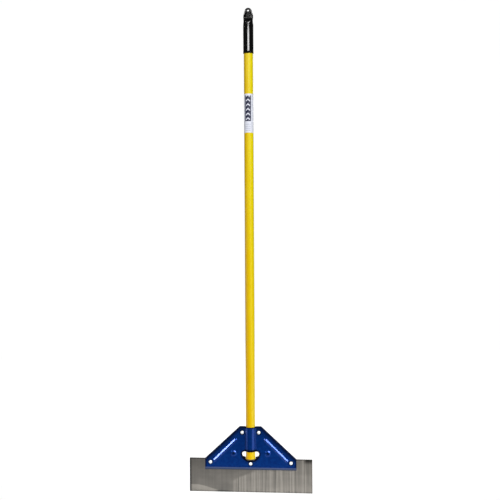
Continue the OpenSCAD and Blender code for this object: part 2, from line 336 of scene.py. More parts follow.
def to_window(points):
    """Distance outwards from the window: a round-ended slot that runs into a pocket."""
    sided = np.column_stack([np.abs(points[:, 0]), points[:, 1]])
    slot_end = np.array([slot_half_width - slot_radius, slot_z])
    slot = to_segment(sided, np.array([0, slot_z]), slot_end) - slot_radius
    reach = np.array([pocket_half_width, (slot_z - pocket_z) / 2]) - pocket_radius
    offset = np.abs(sided - [0, (slot_z + pocket_z) / 2]) - reach
    pocket = (np.hypot(*np.maximum(offset, 0).T) + np.minimum(offset.max(1), 0) - pocket_radius)
    soft = 2.5 * mm                             # radius that eases the slot into the pocket
    share = np.maximum(soft - np.abs(slot - pocket), 0) / soft
    return np.minimum(slot, pocket) - share * share * soft / 4


def pressing(distance, width, height, tilt, share=0.6):
    """Height of a pressed form at a distance from its core: crown, straight flank, foot."""
    half_tan, sin, cos = math.tan(tilt / 2), math.sin(tilt), math.cos(tilt)
    flank = height / half_tan - width
    radii = (width - flank * cos) / sin
    crown, foot = share * radii, (1 - share) * radii
    d = np.clip(distance, 0, width)
    high = height - crown + np.sqrt(np.maximum(crown ** 2 - d ** 2, 0))
    low = foot - np.sqrt(np.maximum(foot ** 2 - (width - d) ** 2, 0))
    middle = height - crown * (1 - cos) - (d - crown * sin) * sin / cos
    return np.where(d < crown * sin, high, np.where(d > width - foot * sin, low, middle))


def roll(distance, width, radius):
    """How far an edge has rolled back, at a distance from it."""
    into = np.clip(width - distance, 0, radius)
    return radius - np.sqrt(radius ** 2 - into ** 2)


def smooth(value, low, high):
    """0 below low, 1 above high, and an even climb between them."""
    t = np.clip((value - low) / (high - low), 0, 1)
    return t * t * (3 - 2 * t)


def relief(points):
    """How far the plate's front face stands out of its flat web at each (x, z)."""
    x, z = np.abs(points[:, 0]), points[:, 1]
    sided = np.column_stack([x, z])
    height = pressing(to_segment(sided, *bead_ends), bead_half_width, bead_height, bead_tilt)
    boss = np.hypot(*(sided - boss_at).T)
    height += pressing(np.maximum(boss - boss_crest, 0), boss_flank, boss_height, boss_tilt)
    height -= pressing(boss, boss_crest, dish_depth, dish_tilt)
    seat = np.hypot(x - rivet_at["rivet_top_right"].x, z - rivet_at["rivet_top_right"].z)
    height -= pressing(np.maximum(seat - seat_radius, 0), seat_slope, seat_depth, seat_tilt, 0.5)
    beside_socket = smooth(x, corner_run, corner_run + 5 * mm)
    height -= roll(to_edge(points), turn_radius, turn_radius) * beside_socket
    height -= roll(to_window(points), window_turn, window_turn_radius) * np.where(
        z > slot_z, beside_socket, 1)
    drop = np.clip(lip_z - z, 0, lip_radius)
    height += lip_radius - np.sqrt(lip_radius ** 2 - drop ** 2)
    round_part = np.sqrt(np.maximum(socket_radius ** 2 - x ** 2, 0)) - turn_radius
    into = np.clip(corner_run - x, 0, socket_fillet)
    fillet = socket_fillet - np.sqrt(socket_fillet ** 2 - into ** 2)
    socket = np.where(x < socket_join, round_part, fillet)
    return np.where((z > slot_z) & (x < corner_run), socket, height)


def easing(points):
    """Thins the socket's two cut ends, so that they look rounded over from in front."""
    x, z = np.abs(points[:, 0]), points[:, 1]
    inside = smooth(corner_run - x, 0, 3 * mm) * (z > slot_z)
    foot = 1.1 * mm * roll(z - window_top, 4 * mm, 4 * mm) / (4 * mm)
    mouth = 0.7 * mm * roll(mouth_z - z, 2.5 * mm, 2.5 * mm) / (2.5 * mm)
    return inside * (foot + mouth)


mouth_z = top_z - 2.5 * mm                      # the socket's mouth stops below the flat top


def top_of(x):
    """Height of the plate's upper edge at x, which dips over the socket."""
    x = np.abs(x)
    flat = mouth_z + (top_z - mouth_z) * smooth(x, 0.8 * socket_radius, 1.25 * corner_run)
    return np.minimum(flat, shoulder_z + (half_width - x) * -slant[1] / slant[0])


def even(start, stop, spacing):
    """Values from start to stop, evenly spaced by no more than spacing."""
    return np.linspace(start, stop, max(2, int(math.ceil(abs(stop - start) / spacing)) + 1))


def both_sides(line):
    """A line and its mirror image on the plate's other half."""
    return [line, line * [-1, 1]]


def ring_at(centre, radius, sides):
    """A closed ring of points round a centre."""
    turns = np.linspace(0, 2 * math.pi, sides + 1)
    return centre + radius * np.column_stack([np.cos(turns), np.sin(turns)])


def round_the_window(distance, sides):
    """The line that runs round the window at a distance from its edge."""
    turns = np.linspace(0, 2 * math.pi, sides + 1)
    way = np.column_stack([np.cos(turns), np.sin(turns)])
    heart = np.array([0, slot_z - 3 * mm])
    near, far = np.zeros(sides + 1), np.full(sides + 1, 2 * slot_half_width)
    for _ in range(40):
        middle = (near + far) / 2
        outside = to_window(heart + way * middle[:, None]) > distance
        near, far = np.where(outside, near, middle), np.where(outside, middle, far)
    return heart + way * near[:, None]


def plate_lines():
    """The lines that the plate's triangles follow: edges, and contours of each pressing."""
    lines = []
    corner_low = np.array([half_width, shoulder_z])
    corner_high = np.array([top_half_width, top_z])
    mitre = slant_in + [0, -1]
    mitre /= mitre @ slant_in                   # moves the upper corner in by one unit
    turns = [turn_radius * (1 - math.sin(math.radians(a))) for a in (0, 18, 36, 52, 66, 78)]
    for inset in turns + [5 * mm, 8 * mm]:
        low = corner_low + slant_in * inset
        low += slant * (low[0] - half_width) / -slant[0]
        high = corner_high + mitre * inset
        run = even(0, 1, 2.6 * mm / np.hypot(*(high - low)))[:, None]
        lines += both_sides(low + (high - low) * run)
        across = even(high[0], corner_run + mm, 2.4 * mm)
        lines += both_sides(np.column_stack([across, np.full(len(across), high[1])]))
    for angle in np.linspace(0, lip_angle, 7):
        across = even(-half_width, half_width, 3 * mm)
        lines.append(np.column_stack([across, np.full(len(across),
                                                      lip_z - lip_radius * math.sin(angle))]))
    for inset in (0.0, 1 * mm):
        up = even(lip_z - lip_radius * math.sin(lip_angle), shoulder_z, 2.6 * mm)
        lines += both_sides(np.column_stack([np.full(len(up), half_width - inset), up]))
    along = (bead_ends[1] - bead_ends[0]) / np.hypot(*(bead_ends[1] - bead_ends[0]))
    across = np.array([-along[1], along[0]])
    lines += both_sides(bead_ends[0] + (bead_ends[1] - bead_ends[0]) * even(0, 1, 0.025)[:, None])
    for share in (0.09, 0.18, 0.36, 0.54, 0.72, 0.88, 0.94, 1.0, 1.15):
        out = bead_half_width * share
        turns = np.linspace(-math.pi / 2, math.pi / 2, 13)
        cap = np.outer(np.cos(turns), along) + np.outer(np.sin(turns), across)
        far = bead_ends[1] + out * cap
        near = bead_ends[0] - out * cap
        side = even(0, 1, 0.03)[1:-1, None]
        lines += both_sides(np.vstack([far, far[-1] + (near[0] - far[-1]) * side, near,
                                       near[-1] + (far[0] - near[-1]) * side, far[:1]]))
    dish_rings = np.linspace(0.15, 1, 7) * boss_crest
    flank_rings = boss_crest + np.linspace(0.08, 1, 10) * boss_flank
    for radius in [*dish_rings, *flank_rings]:
        lines += both_sides(ring_at(boss_at, radius, 44))
    seat_at = np.array([rivet_at["rivet_top_right"].x, rivet_at["rivet_top_right"].z])
    for share in np.linspace(0, 1, 6):
        lines += both_sides(ring_at(seat_at, seat_radius + share * seat_slope, 40))
    for name in rivet_nodes:
        centre = np.array([rivet_at[name].x, rivet_at[name].z])
        for radius in (hole_radius, 4.6 * mm, 6 * mm):
            lines.append(ring_at(centre, radius, 32))
    for share in (0, 0.15, 0.35, 0.6, 0.8, 1.0):
        lines.append(round_the_window(share * window_turn, 150))
    turns = np.radians(np.arange(0, 74, 4.6))
    columns = list(socket_radius * np.sin(turns)) + [socket_join]
    columns += [corner_run - socket_fillet * math.sin(math.radians(a)) for a in (60, 45, 30, 15, 0)]
    rises = np.array([0, 0.8, 1.8, 3, 4.2, 6]) * mm
    middle = even(window_top + 9 * mm, mouth_z - 6 * mm, 5 * mm)
    for x in columns:
        tall = float(top_of(np.array([x]))[0])
        rows = [window_top + rises, middle, np.linspace(mouth_z - 4 * mm, tall, 5)]
        rows = np.concatenate(rows)
        lines += both_sides(np.column_stack([np.full(len(rows), x), rows]))
    return lines


def plate_net():
    """Triangulates the plate in (x, z): points, triangles and the loops round its edges."""
    points, edges = [], []
    for line in plate_lines():
        edges += [(len(points) + i, len(points) + i + 1) for i in range(len(line) - 1)]
        points += list(line)
    crest = even(-corner_run - mm, corner_run + mm, 1.2 * mm)
    edges += [(len(points) + i, len(points) + i + 1) for i in range(len(crest) - 1)]
    points += list(np.column_stack([crest, top_of(crest)]))
    pitch = 3.4 * mm
    drawn = np.array(points)
    for row, z in enumerate(np.arange(lip_z + pitch / 2, top_z, pitch * 0.866)):
        xs = np.arange(-half_width, half_width, pitch) + (row % 2) * pitch / 2
        grid = np.column_stack([xs, np.full(len(xs), z)])
        gap = np.min(np.hypot(grid[:, None, 0] - drawn[None, :, 0],
                              grid[:, None, 1] - drawn[None, :, 1]), axis=1)
        free = (gap > 0.45 * pitch) & (to_edge(grid) > turn_radius) & (to_window(grid) > 2 * mm)
        free &= (np.abs(grid[:, 0]) > corner_run) | (z < slot_z)
        points += list(grid[free])
    corners, _, triangles, *_ = geometry.delaunay_2d_cdt(
        [Vector(p) for p in points], edges, [], 0, 1e-7)
    corners = np.array([tuple(c) for c in corners])
    triangles = np.array([tuple(t) for t in triangles])
    centres = corners[triangles].mean(1)
    slack = 0.01 * mm
    kept = (to_window(centres) > slack) & (to_edge(centres) > -slack)
    kept &= (np.abs(centres[:, 0]) < half_width) & (centres[:, 1] < top_of(centres[:, 0]))
    kept &= centres[:, 1] > lip_z - lip_radius * math.sin(lip_angle)
    for name in rivet_nodes:
        away = np.hypot(centres[:, 0] - rivet_at[name].x, centres[:, 1] - rivet_at[name].z)
        kept &= away > hole_radius - slack
    triangles = triangles[kept]
    used = np.unique(triangles)
    renumber = np.full(len(corners), -1)
    renumber[used] = np.arange(len(used))
    return corners[used], renumber[triangles]


def front_face(points):
    """Where the pressed front face lies at each (x, z)."""
    return np.column_stack([points[:, 0], web_y - relief(points), points[:, 1]])


def facing(points):
    """Which way the front face looks at each (x, z)."""
    step = 0.02 * mm
    slope_x = (relief(points + [step, 0]) - relief(points - [step, 0])) / (2 * step)
    slope_z = (relief(points + [0, step]) - relief(points - [0, step])) / (2 * step)
    ways = np.column_stack([-slope_x, -np.ones(len(points)), -slope_z])
    return ways / np.linalg.norm(ways, axis=1)[:, None]


def plate_shell(net, triangles):
    """Gives the net the sheet's thickness and eased edges. Returns vertices and faces."""
    front = front_face(net)
    ways = facing(net)
    back = front - ways * sheet
    back[:, 1] = np.minimum(back[:, 1], 0)
    front = front - ways * easing(net)[:, None]
    count = len(net)
    a, b, c = triangles.T
    turned = (net[b, 0] - net[a, 0]) * (net[c, 1] - net[a, 1]) \
        - (net[c, 0] - net[a, 0]) * (net[b, 1] - net[a, 1])
    triangles = np.where((turned > 0)[:, None], triangles, triangles[:, ::-1])
    sides = np.vstack([triangles[:, [0, 1]], triangles[:, [1, 2]], triangles[:, [2, 0]]])
    known = {tuple(s) for s in sides.tolist()}
    rim = [s for s in known if (s[1], s[0]) not in known]
    following = dict(rim)
    before = {b: a for a, b in rim}
    loop_ids = sorted(following)
    place = {v: i for i, v in enumerate(loop_ids)}
    ids = np.array(loop_ids)
    run = front[[following[v] for v in loop_ids]] - front[[before[v] for v in loop_ids]]
    outward = np.cross(ways[ids], run)
    outward /= np.linalg.norm(outward, axis=1)[:, None]
    wall = np.linalg.norm(front[ids] - back[ids], axis=1)
    ease = np.minimum(rim_ease, 0.3 * wall)[:, None]
    upper = front[ids] - ways[ids] * ease
    lower = back[ids] + ways[ids] * ease
    front[ids] -= outward * ease
    back[ids] -= outward * ease
    vertices = np.vstack([front, back, upper, lower])
    faces = [tuple(t) for t in triangles] + [tuple(t[::-1] + count) for t in triangles]
    for v, w in rim:
        i, j = place[v], place[w]
        strip = [v, 2 * count + i, 2 * count + len(ids) + i, count + v]
        other = [w, 2 * count + j, 2 * count + len(ids) + j, count + w]
        faces += [(other[k], strip[k], strip[k + 1], other[k + 1]) for k in range(3)]
    return vertices, faces


# Glossy stoving enamel over pressed steel. It is a deep, even blue with a faint orange
# peel. Painted shade darkens it along the turned edges and round the window, and a
# painted reflection greys it on the lip.
enamel, tree, shader, where = start_material("blue stoving enamel")
peel = grain(tree, where, (3 * mm,) * 3, 2)
mottle = grain(tree, where, (6 * mm,) * 3, 3)
mottled = add(tree, "ShaderNodeMapRange", [mottle, 0.3, 0.7], interpolation_type="SMOOTHSTEP")
painted_shade = add(tree, "ShaderNodeAttribute", (), "Fac", attribute_name="painted_shade")
painted_reflection = add(tree, "ShaderNodeAttribute", (), "Fac", attribute_name="painted_reflection")
blue = add(tree, "ShaderNodeMix", {0: mottled, 6: linear("#012A70"), 7: linear("#043680")},
           2, data_type="RGBA")
# Painted shade darkens the blue to near black; a painted reflection greys it on the lip.
for share, turned_to in ((painted_shade, "#000318"), (painted_reflection, "#3E4966")):
    blue = add(tree, "ShaderNodeMix", {0: share, 6: blue, 7: linear(turned_to)},
               2, data_type="RGBA")
dulled = add(tree, "ShaderNodeMath", [painted_shade, painted_reflection], operation="MAXIMUM")
roughness = add(tree, "ShaderNodeMapRange", [mottle, 0.3, 0.7, 0.22, 0.25],
                interpolation_type="SMOOTHSTEP")
rougher = add(tree, "ShaderNodeMath", [dulled, 0.3], operation="MULTIPLY")
feed(tree, shader, {
    "Base Color": blue,
    "Roughness": add(tree, "ShaderNodeMath", [roughness, rougher], operation="ADD"),
    "Coat Weight": add(tree, "ShaderNodeMapRange", [dulled, 0.2, 0.85, 0.24, 0.0],
                       interpolation_type="SMOOTHSTEP"),
    "Metallic": 0.5,
    "Specular IOR Level": 0.1,
    "Coat Roughness": 0.1,
    "Normal": add(tree, "ShaderNodeBump", {"Height": peel, "Distance": 0.003 * mm})})


def painted_shade_at(points):
    """Painted shade: where the enamel is darkened along borders, round the window and at rivets and
    bosses.
    """
    x, z = np.abs(points[:, 0]), points[:, 1]
    border = 0.9 * (1 - smooth(to_edge(points), 2 * mm, 19 * mm))
    border = np.maximum(border, 0.8 * (1 - smooth(half_width - x, 1 * mm, 8 * mm)))
    mouth = 1 - smooth(mouth_z - z, 1 * mm, 4 * mm)
    border = np.where(x < corner_run, mouth, border)
    wider = np.where((x < corner_run) & (z > slot_z), 2 * mm, 0)
    window_roll = 1 - smooth(to_window(points) - wider, 3 * mm, 6.5 * mm)
    below = np.hypot(x / (32.5 * mm), (z - slot_z) / (27 * mm))
    below = (1 - smooth(below, 0.93, 1.05)) * (z < slot_z)
    dish = 0.8 * (1 - smooth(np.hypot(x - boss_at[0], z - boss_at[1]), 2.5 * mm, 5.5 * mm))
    shade_layers = [border, window_roll, below, dish]
    for name in rivet_nodes:
        away = np.hypot(points[:, 0] - rivet_at[name].x, z - rivet_at[name].z)
        shade_layers.append(1 - smooth(away, 7 * mm, 9.5 * mm))
    return np.max(shade_layers, axis=0)


def faces_on_rim(faces, count):
    """The drawn points that the sheet's cut edge starts from."""
    return sorted({v for face in faces if max(face) >= 2 * count for v in face if v < count})


def true_shading(piece, side, drawn):
    """Shades the drawn front face by the pressings' own slopes, not by its triangles."""
    mesh = piece.data
    places = np.empty(3 * len(mesh.vertices))
    mesh.vertices.foreach_get("co", places)
    places = places.reshape(-1, 3)
    normals = np.empty(3 * len(mesh.loops))
    mesh.corner_normals.foreach_get("vector", normals)
    normals = normals.reshape(-1, 3)
    corners = np.empty(len(mesh.loops), dtype=np.int32)
    mesh.loops.foreach_get("vertex_index", corners)
    ways = facing(places[:, [0, 2]]) * [1, side, 1]
    chosen = drawn[corners]
    normals[chosen] = ways[corners[chosen]]
    mesh.normals_split_custom_set(normals)


net, triangles = plate_net()
for side, node in ((1, "front_plate"), (-1, "rear_plate")):
    vertices, faces = plate_shell(net, triangles)
    piece = new_piece(f"pressed_{node}", vertices * [1, side, 1], faces, enamel)
    flat = vertices[:, [0, 2]]
    rim_part = np.arange(len(vertices)) >= 2 * len(net)
    # Painted shade covers the cut edges fully; the lip is greyed as a painted reflection instead.
    painted_reflection_share = smooth(lip_z - flat[:, 1], 2 * mm, 4 * mm)
    painted_shade_share = np.where(rim_part, 1.0, painted_shade_at(flat)) * (1 - painted_reflection_share)
    for name, values in (("painted_shade", painted_shade_share), ("painted_reflection", painted_reflection_share)):
        layer = piece.data.attributes.new(name, "FLOAT", "POINT")
        layer.data.foreach_set("value", values.astype(np.float32))
    # Settling may renumber the points, so those of the drawn front face are marked first.
    layer = piece.data.attributes.new("front", "FLOAT", "POINT")
    inner = np.zeros(len(vertices), dtype=np.float32)
    inner[:len(net)] = 1
    inner[faces_on_rim(faces, len(net))] = 0
    layer.data.foreach_set("value", inner)
    settle(piece, 40)
    front = np.empty(len(piece.data.vertices), dtype=np.float32)
    piece.data.attributes["front"].data.foreach_get("value", front)
    true_shading(piece, side, front > 0.5)
    piece.data.attributes.remove(piece.data.attributes["front"])
    stand_for(piece, node)


# ----------------------------------------------------------------- rivets
# Solid steel rivets with domed heads, zinc plated bright. Two close the plates round the
# tube and three go through plates and blade; each is headed over on both faces.

# Bright zinc plating. It is close to white and satin, and mirrors nothing clearly.
zinc, tree, shader, where = start_material("bright zinc plate")
flow = grain(tree, where, (1.4 * mm,) * 3, 3)
feed(tree, shader, {
    "Base Color": add(tree, "ShaderNodeMix",
                      {0: flow, 6: linear("#E4ECF2"), 7: linear("#F6FAFE")}, 2, data_type="RGBA"),
    "Roughness": add(tree, "ShaderNodeMapRange", [flow, 0.3, 0.7, 0.36, 0.46],
                     interpolation_type="SMOOTHSTEP"),
    "Metallic": 0.32,
    "Normal": add(tree, "ShaderNodeBump", {"Height": flow, "Distance": 0.006 * mm})})


def new_tree(name, sockets):
    """A geometry tree with these named inputs, each a float or a material."""
    made = bpy.data.node_groups.new(name, "GeometryNodeTree")
    kinds = {float: "NodeSocketFloat", bpy.types.Material: "NodeSocketMaterial"}
    for socket, value in sockets.items():
        entry = made.interface.new_socket(socket, in_out="INPUT", socket_type=kinds[type(value)])
        entry.default_value = value
    made.interface.new_socket("Geometry", in_out="OUTPUT", socket_type="NodeSocketGeometry")
    return made, made.nodes.new("NodeGroupInput").outputs


def grow(name, tree, values, node, extras=()):
    """Makes a piece from a geometry tree, and leaves it a plain mesh."""
    piece = bpy.data.objects.new(name, bpy.data.meshes.new(name))
    bpy.context.scene.collection.objects.link(piece)
    growth = piece.modifiers.new("growth", "NODES")
    growth.node_group = tree
    sockets = {s.name: s.identifier for s in tree.interface.items_tree if s.in_out == "INPUT"}
    for socket, value in values.items():
        growth[sockets[socket]] = value
    for kind, settings in extras:
        extra = piece.modifiers.new(kind, kind)
        for key, value in settings.items():
            setattr(extra, key, value)
    settle(piece)
    stand_for(piece, node)


def sweep_along(tree, points, spot, radius, sides, finish, capped):
    """Ends a tree: a circle swept along a line of points, each with its spot and radius."""
    spine = add(tree, "GeometryNodeMeshLine", {"Count": points})
    spine = add(tree, "GeometryNodeSetPosition", {0: spine, "Position": spot})
    spine = add(tree, "GeometryNodeMeshToCurve", [spine])
    spine = add(tree, "GeometryNodeSetCurveRadius", {0: spine, "Radius": radius})
    hoop = add(tree, "GeometryNodeCurvePrimitiveCircle", {"Resolution": sides, "Radius": 1.0},
               mode="RADIUS")
    body = add(tree, "GeometryNodeCurveToMesh",
               {0: spine, 1: hoop, "Scale": radius, "Fill Caps": capped})
    body = add(tree, "GeometryNodeRealizeInstances", [body])
    body = add(tree, "GeometryNodeSetMaterial", {0: body, "Material": finish})
    add(tree, "NodeGroupOutput", [body])


# The rivet's outline is drawn along its axis by point number: a dome from its crown to
# its rim, the shank, and the same again at the back. A circle is swept along it.
dome_points = 14
last_point = 2 * dome_points + 1
shank_radius, head_height = 3 * mm, 2.6 * mm
rivet_tree, given = new_tree("domed rivet", {
    "Along X": 0.0, "Along Z": 0.0, "Grip": 6 * mm, "Shank Radius": shank_radius,
    "Head Radius": 5.4 * mm, "Head Height": head_height, "Finish": zinc})
index = add(rivet_tree, "GeometryNodeInputIndex")
from_end = add(rivet_tree, "ShaderNodeMath", [last_point, index], operation="SUBTRACT")
mirrored = add(rivet_tree, "ShaderNodeMath", [index, from_end], operation="MINIMUM")
past_middle = add(rivet_tree, "ShaderNodeMath", [index, last_point / 2], operation="SUBTRACT")
side = add(rivet_tree, "ShaderNodeMath", [past_middle], operation="SIGN")
to_rim = add(rivet_tree, "ShaderNodeMath", [mirrored, dome_points - 1], operation="DIVIDE")
to_rim = add(rivet_tree, "ShaderNodeMath", [to_rim, 1.0], operation="MINIMUM")
climb = add(rivet_tree, "ShaderNodeMath", [1.0, to_rim], operation="SUBTRACT")
climb = add(rivet_tree, "ShaderNodeMath", [climb, math.pi / 2], operation="MULTIPLY")
sine = add(rivet_tree, "ShaderNodeMath", [climb], operation="SINE")
cosine = add(rivet_tree, "ShaderNodeMath", [climb], operation="COSINE")
rise = add(rivet_tree, "ShaderNodeMath", [given["Head Height"], sine], operation="MULTIPLY")
dome_radius = add(rivet_tree, "ShaderNodeMath", [given["Head Radius"], cosine],
                  operation="MULTIPLY")
half_grip = add(rivet_tree, "ShaderNodeMath", [given["Grip"], 0.5], operation="MULTIPLY")
reach = add(rivet_tree, "ShaderNodeMath", [half_grip, rise], operation="ADD")
at_y = add(rivet_tree, "ShaderNodeMath", [side, reach], operation="MULTIPLY")
on_shank = add(rivet_tree, "ShaderNodeMath", [mirrored, dome_points - 0.5],
               operation="GREATER_THAN")
radius = add(rivet_tree, "GeometryNodeSwitch", [on_shank, dome_radius, given["Shank Radius"]],
             input_type="FLOAT")
spot = add(rivet_tree, "ShaderNodeCombineXYZ", [given["Along X"], at_y, given["Along Z"]])
sweep_along(rivet_tree, last_point + 1, spot, radius, 40, given["Finish"], True)

for node in rivet_nodes:
    low, high = rivet_box[node]
    grow("domed_" + node, rivet_tree, {
        "Along X": rivet_at[node].x, "Along Z": rivet_at[node].z,
        "Grip": high.y - low.y - 2 * head_height, "Shank Radius": shank_radius,
        "Head Radius": (high.x - low.x) / 2, "Head Height": head_height, "Finish": zinc},
        node)


# ------------------------------------------------------------ handle tube
# A thin-walled steel tube, shrunk into a smooth yellow plastic sleeve. Its foot is
# swelled, so that it can't pull up out of the socket, and stands on the blade.

# Smooth yellow plastic, drawn on as a sleeve. It is glossy, darker and more orange on its
# left side as painted shade, greener towards the top, and has a fine grain along its length.
yellow, tree, shader, where = start_material("yellow plastic coating")
x = add(tree, "ShaderNodeSeparateXYZ", [where], "X")
z = add(tree, "ShaderNodeSeparateXYZ", [where], "Z")
drift = grain(tree, where, (18 * mm, 18 * mm, 90 * mm), 3)
long_grain = grain(tree, where, (1.2 * mm, 1.2 * mm, 5 * mm), 2)
# Painted shade: the left side is darker and more orange than the right.
side_shade_and_hue = add(tree, "ShaderNodeMapRange", [x, -12 * mm, 12 * mm, 0.0, 0.7],
          interpolation_type="SMOOTHSTEP")
hue_drift = add(tree, "ShaderNodeMapRange", [drift, 0.3, 0.7, -0.1, 0.1],
                interpolation_type="SMOOTHSTEP")
hue_climb = add(tree, "ShaderNodeMapRange", [z, 300 * mm, 1100 * mm, -0.1, 0.3],
                interpolation_type="SMOOTHSTEP")
for change in (hue_drift, hue_climb):
    side_shade_and_hue = add(tree, "ShaderNodeMath", [side_shade_and_hue, change], operation="ADD")
feed(tree, shader, {
    "Base Color": add(tree, "ShaderNodeMix",
                      {0: side_shade_and_hue, 6: linear("#CFA200"), 7: linear("#D3C202")}, 2, data_type="RGBA"),
    "Roughness": add(tree, "ShaderNodeMapRange", [drift, 0.3, 0.7, 0.24, 0.34],
                     interpolation_type="SMOOTHSTEP"),
    "Specular IOR Level": 0.3,
    "Normal": add(tree, "ShaderNodeBump", {"Height": long_grain, "Distance": 0.004 * mm})})

# The tube's points crowd towards its foot, where the swell ends in a short taper.
tube_low, tube_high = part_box("handle_tube")
tube_radius, tube_wall = 15 * mm, 1.2 * mm
swell_height, half_taper = 10 * mm, 1.3 * mm
tube_points = 170
tube_tree, given = new_tree("swelled tube", {
    "Foot": 0.0, "Top": 1.0, "Radius": tube_radius, "Swell": 0.75 * mm,
    "Swell Top": 120 * mm, "Finish": yellow})
index = add(tube_tree, "GeometryNodeInputIndex")
share = add(tube_tree, "ShaderNodeMath", [index, tube_points - 1], operation="DIVIDE")
share = add(tube_tree, "ShaderNodeMath", [share, 2.0], operation="POWER")
height = add(tube_tree, "ShaderNodeMath", [given["Top"], given["Foot"]], operation="SUBTRACT")
climb = add(tube_tree, "ShaderNodeMath", [share, height], operation="MULTIPLY")
at_z = add(tube_tree, "ShaderNodeMath", [given["Foot"], climb], operation="ADD")
below = add(tube_tree, "ShaderNodeMath", [given["Swell Top"], at_z], operation="SUBTRACT")
swelled = add(tube_tree, "ShaderNodeMapRange", [below, -half_taper, half_taper, 0.0, 1.0],
              interpolation_type="SMOOTHSTEP")
swell = add(tube_tree, "ShaderNodeMath", [swelled, given["Swell"]], operation="MULTIPLY")
radius = add(tube_tree, "ShaderNodeMath", [given["Radius"], swell], operation="ADD")
spot = add(tube_tree, "ShaderNodeCombineXYZ", {2: at_z})
sweep_along(tube_tree, tube_points, spot, radius, 72, given["Finish"], False)
grow("handle_tube_coated", tube_tree, {
    "Foot": tube_low.z, "Top": tube_high.z, "Radius": tube_radius,
    "Swell": tube_high.x - tube_radius, "Swell Top": tube_low.z + swell_height,
    "Finish": yellow},
    "handle_tube",
    [("SOLIDIFY", {"thickness": tube_wall, "offset": -1.0})])


# ---------------------------------------------------------------- end cap
# A black plastic cap, injection moulded and pushed over the tube. Its solid end is
# flattened into a tab with a hanging hole, and a faint parting line runs up each side.

# Soft black plastic with a moulded gloss. It is all but black, with one sharp streak of
# light down its front.
black, tree, shader, where = start_material("black moulded plastic")
skin = grain(tree, where, (1.5 * mm,) * 3, 2)
smear = grain(tree, where, (12 * mm, 12 * mm, 30 * mm), 3)
feed(tree, shader, {
    "Base Color": add(tree, "ShaderNodeMix",
                      {0: smear, 6: linear("#030303"), 7: linear("#0B0B0C")}, 2, data_type="RGBA"),
    "Roughness": add(tree, "ShaderNodeMapRange", [smear, 0.3, 0.7, 0.07, 0.09],
                     interpolation_type="SMOOTHSTEP"),
    "Specular IOR Level": 0.4,
    "Normal": add(tree, "ShaderNodeBump", {"Height": skin, "Distance": 0.001 * mm})})

cap_low, cap_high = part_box("end_cap")
sleeve_radius = cap_high.x
bore_radius = tube_radius + 0.1 * mm
sleeve_top = tube_high.z
tab_half_width, tab_half_thickness = 16.1 * mm, 4.5 * mm
tab_z = sleeve_top + 26 * mm
tab_end_radius = 12 * mm
tab_end_z = cap_high.z - tab_end_radius
tab_edge = 3.4 * mm
hang_z, hang_radius, hang_flare = tab_end_z + 3 * mm, 3.3 * mm, 0.8 * mm
neck_from, neck_to = sleeve_top - 4 * mm, sleeve_top + 10 * mm
neck_end = sleeve_top + 12 * mm                 # from here it widens again to the tab
thin_from, thin_to = sleeve_top + 4 * mm, sleeve_top + 21 * mm
neck = 0.55 * mm                                # how much the neck is drawn in, each side
seam = 0.12 * mm                                # height of the parting line
rim = 0.6 * mm                                  # rounding of the sleeve's lower end
around = 112


def cap_half_width(z):
    """Half width of the cap seen from in front: sleeve, slight neck, then the tab."""
    waist = sleeve_radius + (tab_half_width - neck - sleeve_radius) * smooth(
        z, neck_from, neck_to)
    waist = waist + neck * smooth(z, neck_end, tab_z)
    lean = math.asin((tab_half_width - tab_end_radius) / (tab_end_z - tab_z))
    side = tab_half_width / math.cos(lean) - (z - tab_z) * math.tan(lean)
    end = np.sqrt(np.maximum(tab_end_radius ** 2 - (z - tab_end_z) ** 2, 0))
    end = np.where(z > tab_end_z + tab_end_radius * math.sin(lean), end, 1)
    round_side = np.sqrt(np.maximum(tab_half_width ** 2 - (z - tab_z) ** 2, 0))
    round_side = np.where(z < tab_z + tab_half_width * math.sin(lean), round_side, side)
    tab = np.minimum(round_side, end)
    return np.where(z < tab_z, waist, np.maximum(tab, 0.3 * mm))


def cap_half_thickness(z):
    """Half thickness from front to back: the full sleeve, then thinning to the flat tab."""
    thin = smooth(z, thin_from, thin_to)
    half = sleeve_radius + (tab_half_thickness - sleeve_radius) * thin
    left = np.clip(tab_edge - (cap_high.z - z), 0, tab_edge)
    return half - (tab_edge - np.sqrt(tab_edge ** 2 - left ** 2)) * 0.9


def cap_ring(half_x, half_y, squareness):
    """Points round one level of the cap, evenly spaced, starting at +X."""
    turns = np.linspace(0, 2 * math.pi, 721)
    power = 2 / squareness
    x = half_x * np.sign(np.cos(turns)) * np.abs(np.cos(turns)) ** power
    y = half_y * np.sign(np.sin(turns)) * np.abs(np.sin(turns)) ** power
    run = np.concatenate([[0], np.cumsum(np.hypot(np.diff(x), np.diff(y)))])
    stops = np.linspace(0, run[-1], around, endpoint=False)
    return np.column_stack([np.interp(stops, run, x), np.interp(stops, run, y)])


levels = list(cap_low.z + rim + (sleeve_top - 5 * mm - cap_low.z - rim) * np.linspace(0, 1, 16))
levels += list(even(sleeve_top - 4 * mm, tab_end_z - 2 * mm, 0.9 * mm))
levels += list(tab_end_z + tab_end_radius * np.sin(np.radians(np.linspace(-8, 88.5, 42))))
rings = []
for z in reversed(levels):                      # the parting line is one point wide
    square = 2 + 1.6 * float(smooth(z, sleeve_top, sleeve_top + 22 * mm))
    outline = cap_ring(float(cap_half_width(z)), float(cap_half_thickness(z)), square)
    outline[0, 0] += seam * (z < tab_end_z)
    outline[around // 2, 0] -= seam * (z < tab_end_z)
    rings.append(np.column_stack([outline, np.full(around, z)]))
inner = [(sleeve_radius - 0.2 * mm, cap_low.z + 0.2 * mm), (sleeve_radius - rim, cap_low.z),
         (bore_radius + 0.3 * mm, cap_low.z), (bore_radius, cap_low.z + 0.5 * mm),
         (bore_radius, sleeve_top + 0.2 * mm)]
